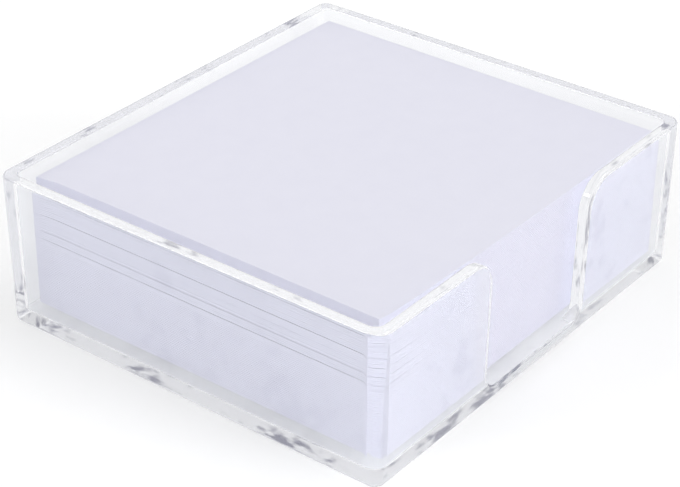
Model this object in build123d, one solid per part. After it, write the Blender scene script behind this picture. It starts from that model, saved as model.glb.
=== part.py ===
from build123d import *
import math
import os

# A clear, open-topped memo tray, moulded in one piece, with a finger gap through its front wall, and the
# loose sheets that it holds. Millimetres. X runs along the wall with the gap, which faces -Y, Z is up, and
# the origin is the middle of the base, on the surface that the tray stands on.

# Tray: overall sizes, measured at the rim
TRAY_WIDTH = 110.0
TRAY_DEPTH = 99.3
TRAY_HEIGHT = 35.9

# Tray: the moulding
WALL = 2.7                 # thickness of the four walls
FLOOR = 3.2                # thickness of the base plate
DRAFT = 0.5                # each wall leans out by this much from base to rim
CORNER_RADIUS = 2.4        # upright outer corners, at the base
INNER_CORNER_RADIUS = 1.6  # upright inner corners, at the floor
BASE_EDGE_RADIUS = 1.2     # round between the walls and the underside
FLOOR_EDGE_RADIUS = 0.5    # round between the inner walls and the floor
RIM_OUTER_RADIUS = 0.8     # round on the outer edge of the rim and of the gap
RIM_INNER_RADIUS = 0.8     # round on the inner edge of the rim

# Tray: the finger gap, in the middle of the front wall, down to the floor
GAP_WIDTH = 35.0
GAP_TOP_RADIUS = 7.0       # round where the gap opens into the rim
GAP_FOOT_RADIUS = 4.0      # round where the gap's sides meet its sill

# Sheets: one cut size, loose, in a stack that stands a little askew, nearer the right and the back wall.
# The four wall clearances are from the sheets, before they are turned, to the walls at the floor.
SHEET_THICKNESS = 0.1
SHEET_AIR = 0.0035           # air that stays under each sheet
STACK_LEFT_CLEARANCE = 4.0
STACK_RIGHT_CLEARANCE = 1.2
STACK_FRONT_CLEARANCE = 1.9
STACK_BACK_CLEARANCE = 1.0
STACK_TOP_CLEARANCE = 2.6    # least height of the rim above the top sheet
STACK_TURN_FOOT = -0.2       # degrees that the lowest packet is turned about the upright axis
STACK_TURN_TOP = -0.4        # degrees that the top sheet is turned
SHEET_SCATTER = 0.06         # how far a single sheet may stand out of line, each way
SCATTER_STEP = 2.4           # radians of the scatter's wave from one sheet to the next

# Sheets in each packet above the lowest, from the top down. A packet ends where the stack shows a gap, and
# the lowest packet has all the sheets below the last gap.
PACKET_SHEETS = [1, 37, 6, 6, 12, 13, 9, 10, 10, 8, 10, 8, 9, 8, 24]

# How far a cutting shape runs past what it cuts
OVERRUN = 5.0


def lean_at(height):
    """How far the walls have leaned out at a height above the base."""
    return DRAFT * height / TRAY_HEIGHT


def drafted_block(wall_inset, corner_radius, foot, top):
    """A block with rounded upright corners whose sides are wall_inset inside the tray's outer faces and lean
    out with them, from the height foot to the height top."""
    inset = DRAFT - lean_at(foot) + wall_inset
    outline = RectangleRounded(TRAY_WIDTH - 2 * inset, TRAY_DEPTH - 2 * inset, corner_radius)
    draft_angle = math.degrees(math.atan(DRAFT / TRAY_HEIGHT))
    return Pos(0, 0, foot) * extrude(outline, amount=top - foot, taper=-draft_angle)


def edges_at(part, height):
    """The edges of a part that lie level at one height."""
    return part.edges().filter_by_position(Axis.Z, height, height)


def is_inside_walls(edge):
    """True for an edge on the hollow's side of the middle of the walls."""
    middle = edge.center()
    in_width = abs(middle.X) < (TRAY_WIDTH - WALL) / 2
    in_depth = abs(middle.Y) < (TRAY_DEPTH - WALL) / 2
    return in_width and in_depth


def is_outer_lip(edge):
    """True for an edge of the closed line that runs round the rim's outer edge and down and up the finger gap
    on the front wall's outer face."""
    middle = edge.center()
    if abs(middle.Z - TRAY_HEIGHT) < OVERRUN * 1e-6:
        return not is_inside_walls(edge) and edge.length > WALL
    front_face = -TRAY_DEPTH / 2 + DRAFT
    in_gap = abs(middle.X) < GAP_WIDTH / 2 + GAP_TOP_RADIUS
    return in_gap and middle.Y < front_face and middle.Z > (FLOOR + BASE_EDGE_RADIUS) / 2


def gap_cutter():
    """The finger gap's outline, carried through the front wall: straight sides, a round where they open into
    the rim, and a round down to the sill."""
    half = GAP_WIDTH / 2
    sill_end = half - GAP_FOOT_RADIUS
    foot = FLOOR + GAP_FOOT_RADIUS
    shoulder = TRAY_HEIGHT - GAP_TOP_RADIUS
    mouth = half + GAP_TOP_RADIUS
    above = TRAY_HEIGHT + OVERRUN
    with BuildSketch(Plane.XZ.offset(TRAY_DEPTH / 4)) as outline:
        with BuildLine():
            Line((0, FLOOR), (sill_end, FLOOR))
            RadiusArc((sill_end, FLOOR), (half, foot), -GAP_FOOT_RADIUS)
            Line((half, foot), (half, shoulder))
            RadiusArc((half, shoulder), (mouth, TRAY_HEIGHT), GAP_TOP_RADIUS)
            Line((mouth, TRAY_HEIGHT), (mouth, above))
            Line((mouth, above), (0, above))
            mirror(about=Plane.YZ)
        make_face()
    return extrude(outline.sketch, amount=TRAY_DEPTH / 2)


def make_tray():
    """Floor, four drafted walls and the finger gap, as one solid."""
    body = drafted_block(0, CORNER_RADIUS, 0, TRAY_HEIGHT)
    body = fillet(edges_at(body, 0), BASE_EDGE_RADIUS)
    hollow = drafted_block(WALL, INNER_CORNER_RADIUS, FLOOR, TRAY_HEIGHT + OVERRUN)
    body -= fillet(edges_at(hollow, FLOOR), FLOOR_EDGE_RADIUS)
    body = fillet(edges_at(body, TRAY_HEIGHT).filter_by(is_inside_walls), RIM_INNER_RADIUS)
    body -= gap_cutter()
    return fillet(body.edges().filter_by(is_outer_lip), RIM_OUTER_RADIUS)


def sheet_size():
    """Width and depth of every sheet: the hollow at the floor, less the clearances to the walls."""
    hollow_inset = DRAFT - lean_at(FLOOR) + WALL
    width = TRAY_WIDTH - 2 * hollow_inset - STACK_LEFT_CLEARANCE - STACK_RIGHT_CLEARANCE
    depth = TRAY_DEPTH - 2 * hollow_inset - STACK_FRONT_CLEARANCE - STACK_BACK_CLEARANCE
    return width, depth


def sheet_place(level, turn):
    """Where the sheet at a level of the stack lies, counted from 0 at the floor: off the middle by what the
    clearances differ, turned, and a little out of line."""
    x = (STACK_LEFT_CLEARANCE - STACK_RIGHT_CLEARANCE) / 2
    y = (STACK_FRONT_CLEARANCE - STACK_BACK_CLEARANCE) / 2
    z = FLOOR + SHEET_AIR + level * (SHEET_THICKNESS + SHEET_AIR)
    wave = level * SCATTER_STEP
    scattered = (x + SHEET_SCATTER * math.sin(wave), y + SHEET_SCATTER * math.cos(wave), z)
    return Pos(*scattered) * Rot(0, 0, turn)


def make_packet(first_level, count, turn):
    """The sheets of one packet, each a solid of its own."""
    sheet = Box(*sheet_size(), SHEET_THICKNESS, align=(Align.CENTER, Align.CENTER, Align.MIN))
    levels = range(first_level, first_level + count)
    return Compound(children=[sheet_place(level, turn) * sheet for level in levels])


def packet_name(number):
    """The node of a packet, counted from 1 at the top."""
    return "top_sheet" if number == 1 else f"sheets_{number:02d}"


os.makedirs("parts", exist_ok=True)
export_step(make_tray(), "parts/tray.step")

room = TRAY_HEIGHT - STACK_TOP_CLEARANCE - FLOOR
sheets_left = int(room / (SHEET_THICKNESS + SHEET_AIR))
packets = PACKET_SHEETS + [sheets_left - sum(PACKET_SHEETS)]
for index, count in enumerate(packets):
    sheets_left -= count
    turn = STACK_TURN_TOP + (STACK_TURN_FOOT - STACK_TURN_TOP) * index / (len(packets) - 1)
    export_step(make_packet(sheets_left, count, turn), f"parts/{packet_name(index + 1)}.step")
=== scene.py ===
import bmesh
import bpy
import math
import numpy as np
from mathutils import Matrix


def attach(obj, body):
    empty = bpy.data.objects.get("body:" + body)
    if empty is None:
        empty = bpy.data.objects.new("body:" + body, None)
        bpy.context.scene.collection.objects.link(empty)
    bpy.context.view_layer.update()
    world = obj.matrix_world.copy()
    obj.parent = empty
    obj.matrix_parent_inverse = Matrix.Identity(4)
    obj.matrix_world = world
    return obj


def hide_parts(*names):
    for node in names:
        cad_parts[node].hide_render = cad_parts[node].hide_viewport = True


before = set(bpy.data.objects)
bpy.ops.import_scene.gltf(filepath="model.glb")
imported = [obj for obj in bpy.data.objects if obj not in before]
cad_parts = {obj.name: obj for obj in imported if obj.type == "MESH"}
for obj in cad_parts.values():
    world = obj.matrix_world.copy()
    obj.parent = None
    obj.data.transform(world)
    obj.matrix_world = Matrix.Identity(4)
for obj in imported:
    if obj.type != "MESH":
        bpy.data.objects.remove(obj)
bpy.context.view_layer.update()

# ---- Tray ------------------------------------------------------------------------------------------------
# One injection moulding of clear polystyrene: a floor, four walls that lean out a little so that it leaves
# the mould, and a finger gap in the front wall. Its edges are rounded and polished. The surface is one
# profile, from the middle of the underside over the rim to the middle of the floor, carried round the walls.

MM = 0.001
TRAY_WIDTH, TRAY_DEPTH, TRAY_HEIGHT = 110 * MM, 99.3 * MM, 35.9 * MM
WALL, FLOOR, DRAFT = 2.7 * MM, 3.2 * MM, 0.5 * MM
CORNER_RADIUS, INNER_CORNER_RADIUS = 2.4 * MM, 1.6 * MM
BASE_EDGE_RADIUS, FLOOR_EDGE_RADIUS = 1.2 * MM, 0.5 * MM
LIP_OUTER_RADIUS, LIP_INNER_RADIUS, GAP_INNER_RADIUS = 0.8 * MM, 0.8 * MM, 0.25 * MM
GAP_WIDTH, GAP_TOP_RADIUS, GAP_FOOT_RADIUS = 35 * MM, 7 * MM, 4 * MM
GAP_RUN = 25.5 * MM      # half the stretch of the front wall whose rim follows the gap's outline
HOLD = 0.12 * MM         # a row of points this close to a round keeps the flat beside it flat
HOLD_MOST = 0.25         # and it lies at most at this share of the flat
FOOT_SHARE = 0.3         # most of the height over the floor that the round at the walls' feet takes
ARC_STEPS = 12           # steps in a quarter turn of an upright corner or of the gap's outline
EDGE_STEPS = 6           # steps in a quarter turn of a rounded edge
RUN_STEPS, SIDE_STEPS, SILL_STEPS = 2, 6, 4    # steps in the straight parts of the gap's outline
WALL_LINES, WALL_LINES_END = 9, 0.8            # upright lines along a wall, and the share where they end
FLAT_STEPS = 4           # steps up a wall between its rounded edges
MERGE = 0.001 * MM       # points closer than this are one point


def lean_at(height):
    """How far the walls have leaned out at a height: the draft times the share of the height."""
    return DRAFT * height / TRAY_HEIGHT


def held(start, end, steps):
    """Positions from start to end: evenly spaced, with one more beside each end at the distance HOLD."""
    way = np.linspace(start, end, steps + 1)
    near = math.copysign(HOLD, end - start)
    return np.sort(np.concatenate([way, [start + near, end - near]]))[:: int(math.copysign(1, end - start))]


def gap_outline():
    """The rim's line along the front wall, from left to right, as x, z and the unit vector that points from
    the wall to the open air, with the x below it on the base. Each round is centre + radius * (cos a, sin a);
    a mirror of the left half makes the right half."""
    half, top = GAP_WIDTH / 2, TRAY_HEIGHT
    crown = np.array([-half - GAP_TOP_RADIUS, top - GAP_TOP_RADIUS])
    foot = np.array([-half + GAP_FOOT_RADIUS, FLOOR + GAP_FOOT_RADIUS])
    quarter = np.linspace(0, math.pi / 2, ARC_STEPS + 1)
    x = [held(-GAP_RUN, crown[0], RUN_STEPS)[:-1]]
    z = [np.full(x[0].size, top)]
    out = [np.tile([0.0, 1.0], (x[0].size, 1))]
    x.append(crown[0] + GAP_TOP_RADIUS * np.sin(quarter))
    z.append(crown[1] + GAP_TOP_RADIUS * np.cos(quarter))
    out.append(np.stack([np.sin(quarter), np.cos(quarter)], 1))
    side = held(crown[1], foot[1], SIDE_STEPS)[1:-1]
    x.append(np.full(side.size, -half))
    z.append(side)
    out.append(np.tile([1.0, 0.0], (side.size, 1)))
    x.append(foot[0] - GAP_FOOT_RADIUS * np.cos(quarter))
    z.append(foot[1] - GAP_FOOT_RADIUS * np.sin(quarter))
    out.append(np.stack([np.cos(quarter), np.sin(quarter)], 1))
    sill = held(foot[0], 0, SILL_STEPS)[1:-2]
    x.append(sill)
    z.append(np.full(sill.size, FLOOR))
    out.append(np.tile([0.0, 1.0], (sill.size, 1)))
    x, z, out = np.concatenate(x), np.concatenate(z), np.concatenate(out)
    run = np.concatenate([[0], np.cumsum(np.hypot(np.diff(x), np.diff(z)))])
    bend = np.argmin(np.hypot(x + half, z - foot[1]))
    below = np.where(run < run[bend], -GAP_RUN + (GAP_RUN - half) * run / run[bend], x)
    return (np.concatenate([x, [0.0], -x[::-1]]),
            np.concatenate([z, [FLOOR], z[::-1]]),
            np.concatenate([out, [[0.0, 1.0]], out[::-1] * [-1, 1]]),
            np.concatenate([below, [0.0], -below[::-1]]))


def wall_stations():
    """One entry for each upright line of points round the other walls and the four corners, counterclockwise
    from the front wall's right end to its left end. A point lies at share * (half size - radius) + radius *
    normal, so share is 1 or -1 in the corners and runs between them along a wall."""
    quarter = np.linspace(0, math.pi / 2, ARC_STEPS + 1)
    edge = HOLD / (TRAY_DEPTH / 2)
    between = np.linspace(WALL_LINES_END, -WALL_LINES_END, WALL_LINES)
    along = np.concatenate([[1 - edge], between, [edge - 1]])
    share, normal = [np.array([[1 - edge, -1.0]])], [np.array([[0.0, -1.0]])]
    for turn in range(4):
        angle = (turn - 1) * math.pi / 2 + quarter
        middle = angle[ARC_STEPS // 2]
        share.append(np.tile(np.sign([math.cos(middle), math.sin(middle)]), (quarter.size, 1)))
        normal.append(np.stack([np.cos(angle), np.sin(angle)], 1))
        if turn < 3:
            side = np.round([math.cos(angle[-1]), math.sin(angle[-1])])
            share.append(side - along[:, None] * np.array([-side[1], side[0]]))
            normal.append(np.tile(side, (along.size, 1)))
    share.append(np.array([[edge - 1, -1.0]]))
    normal.append(np.array([[0.0, -1.0]]))
    return np.concatenate(share), np.concatenate(normal)


def tray_points():
    """Rows of points round the tray, from the middle of the underside, out and up the outer walls, over the
    rim and down to the middle of the floor. A point is share * (half size - depth - radius) + shift + radius
    * normal, where depth is its distance inside the outer face, which leans out with the height, and the
    shift follows the rim's line along the front wall."""
    gap_x, gap_z, gap_out, gap_below = gap_outline()
    share, normal = wall_stations()
    rest = len(share)
    share = np.concatenate([np.tile([0.0, -1.0], (gap_x.size, 1)), share])
    normal = np.concatenate([np.tile([0.0, -1.0], (gap_x.size, 1)), normal])
    rim_x = np.concatenate([gap_x, np.zeros(rest)])
    rim_z = np.concatenate([gap_z, np.full(rest, TRAY_HEIGHT)])
    out = np.concatenate([gap_out, np.tile([0.0, 1.0], (rest, 1))])
    below = np.concatenate([gap_below, np.zeros(rest)])
    half = np.array([TRAY_WIDTH, TRAY_DEPTH]) / 2 - DRAFT
    rows = []

    def ring(depth, x, z, outer):
        """Adds one row: its depth inside the outer face, its shift, its height, and whose rounding it has."""
        depth, x, z = (np.broadcast_to(v, rim_x.shape) for v in (depth, x, z))
        lean = lean_at(z)
        radius = CORNER_RADIUS + lean - depth if outer else \
            INNER_CORNER_RADIUS + lean - lean_at(FLOOR) + WALL - depth
        place = share * (half + (lean - depth - radius)[:, None]) + radius[:, None] * normal
        rows.append(np.stack([place[:, 0] + x, place[:, 1], z], 1))

    def flat(start, end, steps, outer):
        """Adds the rows of a flat between two lines, each given as depth, shift and height."""
        start, end = (np.stack([np.broadcast_to(v, rim_x.shape) for v in line]) for line in (start, end))
        length = np.linalg.norm(end - start, axis=0)
        near = np.where(length > 0, np.minimum(HOLD / np.maximum(length, MERGE), HOLD_MOST), 0)
        for step in [near] + [s / steps for s in range(1, steps)] + [1 - near]:
            ring(*(start + (end - start) * step), outer)

    quarter = np.linspace(0, math.pi / 2, EDGE_STEPS + 1)
    rows.append(np.zeros((rim_x.size, 3)))
    ring(BASE_EDGE_RADIUS + HOLD, below, 0, True)
    for a in quarter:
        ring(BASE_EDGE_RADIUS * (1 - math.sin(a)), below, BASE_EDGE_RADIUS * (1 - math.cos(a)), True)
    drop = LIP_OUTER_RADIUS
    lip = (0, rim_x - out[:, 0] * drop, rim_z - out[:, 1] * drop)
    flat((0, below, BASE_EDGE_RADIUS), lip, FLAT_STEPS, True)
    for a in quarter:
        drop = LIP_OUTER_RADIUS * (1 - math.sin(a))
        ring(LIP_OUTER_RADIUS * (1 - math.cos(a)), rim_x - out[:, 0] * drop, rim_z - out[:, 1] * drop, True)
    inner = GAP_INNER_RADIUS + (LIP_INNER_RADIUS - GAP_INNER_RADIUS) * np.maximum(out[:, 1], 0)
    inner = np.minimum(inner, (rim_z - FLOOR) / 2)
    foot = np.minimum(FLOOR_EDGE_RADIUS, (rim_z - FLOOR) * FOOT_SHARE)
    middle = (LIP_OUTER_RADIUS + WALL - LIP_INNER_RADIUS) / 2
    flat((LIP_OUTER_RADIUS, rim_x, rim_z), (middle, rim_x, rim_z), 1, True)
    flat((middle, rim_x, rim_z), (WALL - inner, rim_x, rim_z), 1, False)
    for a in quarter:
        drop = inner * (1 - math.cos(a))
        ring(WALL - inner * (1 - math.sin(a)), rim_x - out[:, 0] * drop, rim_z - out[:, 1] * drop, False)
    under_lip = (WALL, rim_x - out[:, 0] * inner, rim_z - out[:, 1] * inner)
    flat(under_lip, (WALL, below, FLOOR + foot), FLAT_STEPS, False)
    for a in quarter:
        ring(WALL + foot * (1 - math.cos(a)), below, FLOOR + foot * (1 - math.sin(a)), False)
    ring(WALL + FLOOR_EDGE_RADIUS + HOLD, below, FLOOR, False)
    rows.append(np.tile([0.0, 0.0, FLOOR], (rim_x.size, 1)))
    return np.stack(rows)


def closed_band(points, name):
    """A mesh from rows of points that run round and close on themselves, with each doubled point merged."""
    rows, columns = points.shape[:2]
    index = np.arange(rows * columns).reshape(rows, columns)
    right = np.roll(index, -1, axis=1)
    quads = np.stack([index[:-1], right[:-1], right[1:], index[1:]], -1).reshape(-1, 4)
    mesh = bpy.data.meshes.new(name)
    mesh.from_pydata(points.reshape(-1, 3).tolist(), [], quads.tolist())
    work = bmesh.new()
    work.from_mesh(mesh)
    bmesh.ops.remove_doubles(work, verts=work.verts, dist=MERGE)
    bmesh.ops.dissolve_degenerate(work, edges=work.edges, dist=MERGE)
    work.to_mesh(mesh)
    work.free()
    mesh.shade_smooth()
    return mesh


def add_piece(mesh, material):
    """Puts a mesh into the scene, with its material, at the origin."""
    piece = bpy.data.objects.new(mesh.name, mesh)
    mesh.materials.append(material)
    bpy.context.collection.objects.link(piece)
    return piece


class Signal:
    """A shader socket with arithmetic: each operator adds the Math node that works it out."""

    def __init__(self, tree, socket):
        self.tree, self.socket = tree, socket

    def math(self, operation, *values):
        """The Math node of one operation on any values or signals."""
        return self.tree.add("ShaderNodeMath", {"operation": operation}, dict(enumerate(values)))

    def __add__(self, other):
        return self.math("ADD", self, other)

    def __sub__(self, other):
        return self.math("SUBTRACT", self, other)

    def __rsub__(self, other):
        return self.math("SUBTRACT", other, self)

    def __mul__(self, other):
        return self.math("MULTIPLY", self, other)

    __radd__, __rmul__ = __add__, __mul__


class Finish:
    """The nodes of one material, or of the world."""

    def __init__(self, owner):
        owner.use_nodes = True
        self.nodes, self.links = owner.node_tree.nodes, owner.node_tree.links
        self.nodes.clear()

    def add(self, kind, settings=None, inputs=None, output=0):
        """Makes a node from its type, its settings and what goes into its sockets, and gives one output."""
        node = self.nodes.new(kind)
        for key, value in (settings or {}).items():
            setattr(node, key, value)
        for key, value in (inputs or {}).items():
            if isinstance(value, Signal):
                self.links.new(value.socket, node.inputs[key])
            else:
                node.inputs[key].default_value = value
        return Signal(self, node.outputs[output]) if node.outputs else None


# The clear plastic. Light that has been mirrored once inside it would run on to the far walls, through more
# bounces than a render follows. So the surface then lets a share LEAVING of it out, unbent, and gives the
# rest as painted light, the glow of the white surround, with painted dark reflections where noise is low,
# mostly near the base. A lamp's light passes as a tinted shadow.
PLASTIC_TINT, PLASTIC_IOR, PLASTIC_CLEAR = (0.935, 0.94, 0.955, 1), 1.57, 0.95
POLISH, HAZE, HAZE_SCALE = 0.01, 0.02, 900.0          # roughness, how far haze adds to it, and its scale
FLOW_SCALE, FLOW_DEPTH, FLOW_STRENGTH = 60.0, 0.2 * MM, 0.05
DARK_REFLECTION_SCALE, DARK_REFLECTION_SHARPNESS, DARK_REFLECTION_CLUSTERS, DARK_REFLECTION_FADE, DARK_REFLECTION_OFFSET = 260.0, 6.0, 5.0, 26.0, 4.35
PAINTED_DARK_REFLECTION, PAINTED_GLOW_COLOUR = (0.24, 0.24, 0.31, 1), (0.95, 0.955, 0.97, 1)
LEAVING, LEAVING_TINT, SHADOW_TINT = 0.3, (0.95, 0.955, 0.965, 1), (0.9, 0.91, 0.93, 1)

plastic = bpy.data.materials.new("clear_polystyrene")
nodes = Finish(plastic)
where = nodes.add("ShaderNodeTexCoord", output="Object")
height = nodes.add("ShaderNodeSeparateXYZ", inputs={"Vector": where}, output="Z")
flow = nodes.add("ShaderNodeTexNoise", inputs={"Vector": where, "Scale": FLOW_SCALE, "Detail": 1.0})
haze = nodes.add("ShaderNodeTexNoise", inputs={"Vector": where, "Scale": HAZE_SCALE, "Detail": 3.0})
reflection_streaks = nodes.add("ShaderNodeTexNoise", inputs={"Vector": where, "Scale": DARK_REFLECTION_SCALE, "Detail": 2.0})
ripple = nodes.add("ShaderNodeBump", inputs={
    "Strength": FLOW_STRENGTH, "Distance": FLOW_DEPTH, "Height": flow})
clear = nodes.add("ShaderNodeBsdfPrincipled", inputs={
    "Base Color": PLASTIC_TINT, "Roughness": haze * HAZE + POLISH, "IOR": PLASTIC_IOR,
    "Transmission Weight": PLASTIC_CLEAR, "Normal": ripple})
# Painted dark reflections: where streak and flow noise are low, mostly near the base, the painted glow turns
# dark.
glow_share = reflection_streaks * DARK_REFLECTION_SHARPNESS + flow * DARK_REFLECTION_CLUSTERS + height * DARK_REFLECTION_FADE - DARK_REFLECTION_OFFSET
painted_glow = nodes.add("ShaderNodeMix", {"data_type": "RGBA"}, {
    "Factor": glow_share, 6: PAINTED_DARK_REFLECTION, 7: PAINTED_GLOW_COLOUR}, 2)
# Painted light: an emission that stands in for the surround's light along mirrored paths inside the plastic.
painted_surround_glow = nodes.add("ShaderNodeEmission", inputs={"Color": painted_glow, "Strength": 1.0})
leaving = nodes.add("ShaderNodeBsdfTransparent", inputs={"Color": LEAVING_TINT})
way_out = nodes.add("ShaderNodeMixShader", inputs={0: LEAVING, 1: painted_surround_glow, 2: leaving})
shadow = nodes.add("ShaderNodeBsdfTransparent", inputs={"Color": SHADOW_TINT})
is_shadow = nodes.add("ShaderNodeLightPath", output="Is Shadow Ray")
is_mirrored = nodes.add("ShaderNodeLightPath", output="Is Glossy Ray")
is_inside = nodes.add("ShaderNodeLightPath", output="Is Transmission Ray")
mirrored = nodes.add("ShaderNodeMixShader", inputs={0: is_mirrored, 1: clear, 2: way_out})
body = nodes.add("ShaderNodeMixShader", inputs={0: is_inside, 1: mirrored, 2: clear})
surface = nodes.add("ShaderNodeMixShader", inputs={0: is_shadow, 1: body, 2: shadow})
nodes.add("ShaderNodeOutputMaterial", inputs={"Surface": surface})

tray = add_piece(closed_band(tray_points(), "clear_tray"), plastic)
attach(tray, "tray")
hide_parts("tray")


# ---- Sheets ----------------------------------------------------------------------------------------------
# About 290 loose memo sheets of plain white paper, cut to one size. They lie in a stack, a little
# turned and nearer the right and the back wall. Along the left edge they lift off each other a little, in
# packets, which shows as dark lines on that side of the stack.

SHEET_WIDTH, SHEET_DEPTH, SHEET_THICKNESS = 98.489 * MM, 90.089 * MM, 0.1 * MM
SHEET_PITCH = 0.1035 * MM                    # thickness and the air under it
STACK_X, STACK_Y = 1.4 * MM, 0.45 * MM       # middle of the sheets before each is a little out of line
STACK_TURN_FOOT, STACK_TURN_TOP = -0.2, -0.4     # degrees
SHEET_SCATTER, SCATTER_STEP = 0.06 * MM, 2.4     # how far out of line, and radians from sheet to sheet
PACKET_SHEETS = [1, 37, 6, 6, 12, 13, 9, 10, 10, 8, 10, 8, 9, 8, 24, 119]    # from the top down
OPENINGS = [0.02, 0.11, 0.03, 0.16, 0.03, 0.16, 0.03, 0.11, 0.03, 0.16, 0.03, 0.16, 0.11, 0.03, 0.01]  # mm
CURL_REACH, CURL_FALL = 9 * MM, 0.2          # how far the lift reaches in, and how it falls to the back
CURLED_GRID = np.array([0, 0.04, 0.12, 0.32, 1]), np.array([0, 0.6, 0.93, 1])    # shares of width and depth
FLAT_GRID = np.array([0, 1]), np.array([0, 1])
SHARP_ANGLE = 40                             # degrees


def packet_mesh(name, first_level, count, turn, lift, x_shares, y_shares):
    """Closed thin sheets in one mesh. Each is a grid on its underside and the same grid one thickness higher.
    A point's height is its level's height plus lift * exp(-distance from the left edge / CURL_REACH) * (share
    of the depth from the back edge) ^ CURL_FALL. Each sheet is out of line by a sine and a cosine."""
    u, v = np.meshgrid(x_shares, y_shares)
    angle = math.radians(turn)
    along, across = (u - 0.5) * SHEET_WIDTH, (v - 0.5) * SHEET_DEPTH
    x = along * math.cos(angle) - across * math.sin(angle) + STACK_X
    y = along * math.sin(angle) + across * math.cos(angle) + STACK_Y
    curl = lift * np.exp(-u * SHEET_WIDTH / CURL_REACH) * (1 - v) ** CURL_FALL
    level = (first_level + np.arange(count))[:, None, None, None]
    side = np.array([0, SHEET_THICKNESS])[None, :, None, None]
    points = np.stack(np.broadcast_arrays(
        x + SHEET_SCATTER * np.sin(level * SCATTER_STEP),
        y + SHEET_SCATTER * np.cos(level * SCATTER_STEP),
        FLOOR + SHEET_PITCH - SHEET_THICKNESS + level * SHEET_PITCH + side + curl), -1)
    index = np.arange(u.size).reshape(u.shape)
    cells = np.stack([index[:-1, :-1], index[:-1, 1:], index[1:, 1:], index[1:, :-1]], -1).reshape(-1, 4)
    edge = np.concatenate([index[0], index[1:, -1], index[-1, -2::-1], index[-2:0:-1, 0]])
    onward = np.roll(edge, -1)
    walls = np.stack([edge, onward, onward + u.size, edge + u.size], -1)
    halves = np.concatenate([cells[:, [0, 1, 2]], cells[:, [0, 2, 3]]])
    sheet = np.concatenate([halves[:, ::-1], halves + u.size, walls[:, [0, 1, 2]], walls[:, [0, 2, 3]]])
    faces = (sheet + 2 * u.size * np.arange(count)[:, None, None]).reshape(-1, 3)
    mesh = bpy.data.meshes.new(name)
    mesh.from_pydata(points.reshape(-1, 3).tolist(), [], faces.tolist())
    mesh.shade_smooth()
    mesh.set_sharp_from_angle(angle=math.radians(SHARP_ANGLE))
    return mesh


MOTTLE_SCALE, FIBRE_SCALE, MOTTLE_SHARE = 180.0, 2600.0, 0.6
PAPER_DARK, PAPER_LIGHT = (0.74, 0.738, 0.832, 1), (0.79, 0.788, 0.877, 1)
PAPER_ROUGHNESS, PAPER_ROUGHNESS_SPREAD, PAPER_SHEEN = 0.82, 0.1, 0.3
TOOTH_STRENGTH, TOOTH_DEPTH = 0.12, 0.02 * MM

paper = bpy.data.materials.new("memo_paper")
nodes = Finish(paper)
where = nodes.add("ShaderNodeTexCoord", output="Object")
mottle = nodes.add("ShaderNodeTexNoise", inputs={"Vector": where, "Scale": MOTTLE_SCALE, "Detail": 3.0})
fibre = nodes.add("ShaderNodeTexNoise", inputs={"Vector": where, "Scale": FIBRE_SCALE, "Detail": 4.0})
tone = nodes.add("ShaderNodeMix", {"data_type": "RGBA"}, {
    "Factor": mottle * MOTTLE_SHARE + fibre * (1 - MOTTLE_SHARE), 6: PAPER_DARK, 7: PAPER_LIGHT}, 2)
tooth = nodes.add("ShaderNodeBump", inputs={
    "Strength": TOOTH_STRENGTH, "Distance": TOOTH_DEPTH, "Height": fibre})
sheet_surface = nodes.add("ShaderNodeBsdfPrincipled", inputs={
    "Base Color": tone, "Roughness": mottle * PAPER_ROUGHNESS_SPREAD + PAPER_ROUGHNESS,
    "Specular IOR Level": PAPER_SHEEN, "Normal": tooth})
nodes.add("ShaderNodeOutputMaterial", inputs={"Surface": sheet_surface})

sheets_below, last = sum(PACKET_SHEETS), len(PACKET_SHEETS) - 1
for index, count in enumerate(PACKET_SHEETS):
    sheets_below -= count
    turn = STACK_TURN_TOP + (STACK_TURN_FOOT - STACK_TURN_TOP) * index / last
    node = "top_sheet" if index == 0 else f"sheets_{index + 1:02d}"
    grid = CURLED_GRID if index < last else FLAT_GRID
    mesh = packet_mesh("loose_" + node, sheets_below, count, turn, sum(OPENINGS[index:]) * MM, *grid)
    piece = add_piece(mesh, paper)
    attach(piece, node.replace("sheets_", "packet_"))
    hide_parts(node)


# ---- Floor and light -------------------------------------------------------------------------------------
# A white table top and a white surround, three soft lamps and four dark cards. The table's own white is
# lifted a little for what the camera sees, straight or through the plastic, so that it meets the surround and
# keeps the shadow. The cards give the clear edges their dark lines: only mirrored and bent light sees them.

TABLE_REACH, TABLE_DROP = 3.0, 0.05 * MM
TABLE_COLOUR, TABLE_LIFT, SURROUND_LIGHT = (0.78, 0.78, 0.78, 1), 0.27, 0.7
WHITE = (1, 1, 1, 1)
LAMP_ACROSS = 31     # degrees
CARD_DISTANCE, CARD_HEIGHT, CARD_COLOUR = 1.0, 0.5, (0.1, 0.1, 0.13, 1)
SQUARE = np.array([[-1, -1], [1, -1], [1, 1], [-1, 1]])


def seen(nodes):
    """1 for what the camera sees, straight, mirrored or through the plastic, and 0 for light on surfaces."""
    ways = [nodes.add("ShaderNodeLightPath", output=way)
            for way in ("Is Camera Ray", "Is Glossy Ray", "Is Transmission Ray")]
    return nodes.add("ShaderNodeMath", {"operation": "MINIMUM"}, {0: ways[0] + ways[1] + ways[2], 1: 1.0})


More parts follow.
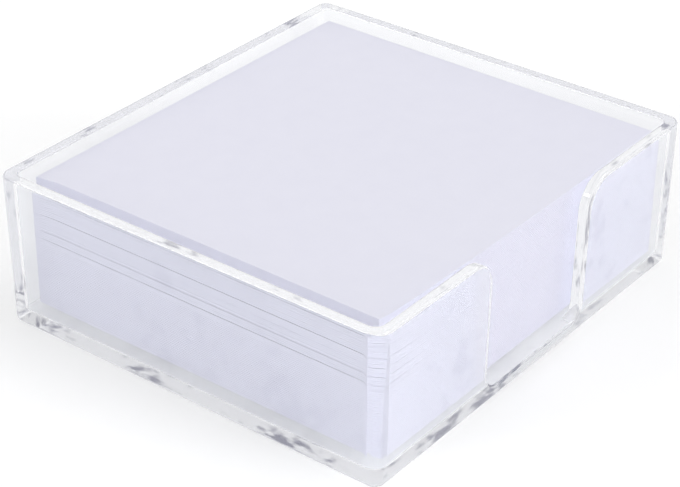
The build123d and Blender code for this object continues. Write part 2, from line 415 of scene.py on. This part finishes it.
mesh = bpy.data.meshes.new("table_top")
corners = np.column_stack([TABLE_REACH * SQUARE, np.full(4, -TABLE_DROP)])
mesh.from_pydata(corners.tolist(), [], [[0, 1, 2, 3]])
table = bpy.data.materials.new("white_table")
nodes = Finish(table)
matt = nodes.add("ShaderNodeBsdfDiffuse", inputs={"Color": TABLE_COLOUR})
lift = nodes.add("ShaderNodeEmission", inputs={"Color": WHITE, "Strength": seen(nodes) * TABLE_LIFT})
nodes.add("ShaderNodeOutputMaterial", inputs={
    "Surface": nodes.add("ShaderNodeAddShader", inputs={0: matt, 1: lift})})
add_piece(mesh, table)

world = bpy.data.worlds.new("white_surround")
bpy.context.scene.world = world
nodes = Finish(world)
view = seen(nodes)
nodes.add("ShaderNodeOutputWorld", inputs={"Surface": nodes.add(
    "ShaderNodeBackground", inputs={"Color": WHITE, "Strength": view + (1 - view) * SURROUND_LIGHT})})


def facing(back):
    """Three unit vectors: level, up and back, for a lamp or camera that looks away from back."""
    back = np.array(back) / np.linalg.norm(back)
    level = np.cross([0.0, 0.0, 1.0], back)
    level /= np.linalg.norm(level)
    return level, np.cross(back, level), back


def place_at(thing, right, up, back, place):
    """Gives a lamp or camera its turn and place, and puts it into the scene."""
    thing.matrix_world = Matrix([[right[i], up[i], back[i], place[i]] for i in range(3)] + [[0, 0, 0, 1]])
    bpy.context.collection.objects.link(thing)


def add_lamp(name, toward, power):
    """A soft lamp so far off in one direction that it lights the whole table alike. It isn't seen through the
    plastic, because its light already passes there as a tinted shadow."""
    data = bpy.data.lights.new(name, "SUN")
    data.angle, data.energy = math.radians(LAMP_ACROSS), power
    lamp = bpy.data.objects.new(name, data)
    lamp.visible_transmission = False
    right, up, back = facing(toward)
    place_at(lamp, right, up, back, back)


add_lamp("key_lamp", (0.35, -0.35, 0.73), 0.45)
add_lamp("side_lamp", (-0.7, 0.45, 0.23), 1.2)
add_lamp("front_lamp", (0.25, -0.85, 0.2), 1.45)

posts = (CARD_DISTANCE * SQUARE).tolist()
mesh = bpy.data.meshes.new("dark_cards")
mesh.from_pydata([[x, y, z] for z in (0.0, CARD_HEIGHT) for x, y in posts], [],
                 [[i, (i + 1) % 4, (i + 1) % 4 + 4, i + 4] for i in range(4)])
card = bpy.data.materials.new("dark_card")
nodes = Finish(card)
nodes.add("ShaderNodeOutputMaterial", inputs={
    "Surface": nodes.add("ShaderNodeEmission", inputs={"Color": CARD_COLOUR, "Strength": 1.0})})
cards = add_piece(mesh, card)
cards.visible_camera = cards.visible_diffuse = cards.visible_shadow = False


# ---- Camera ----------------------------------------------------------------------------------------------
# A long lens, from the left front corner and above. The place and the turn are those at which the tray's
# drawn outline meets the photographed one.

AZIMUTH, ELEVATION, ROLL = -0.9161906, 0.5426301, 0.0074657       # radians
DISTANCE, SIDEWAYS, UPWARDS = 4.2179565, -0.0143864, 0.0901489     # in tray widths
IMAGE_WIDTH, FOCAL = 680, 2097.25          # pixels
SENSOR_WIDTH, CLIP = 36, (0.01, 20)        # millimetres, and metres

level, upright, back = facing((math.sin(AZIMUTH) * math.cos(ELEVATION),
                               -math.cos(AZIMUTH) * math.cos(ELEVATION), math.sin(ELEVATION)))
right = math.cos(ROLL) * level + math.sin(ROLL) * upright
up = math.cos(ROLL) * upright - math.sin(ROLL) * level
lens = bpy.data.cameras.new("camera")
lens.sensor_width = SENSOR_WIDTH
lens.lens = FOCAL / IMAGE_WIDTH * SENSOR_WIDTH
lens.clip_start, lens.clip_end = CLIP
camera = bpy.data.objects.new("camera", lens)
place_at(camera, right, up, back, TRAY_WIDTH * (back * DISTANCE + right * SIDEWAYS + up * UPWARDS))
bpy.context.scene.camera = camera
bpy.context.scene.view_settings.view_transform = "Standard"
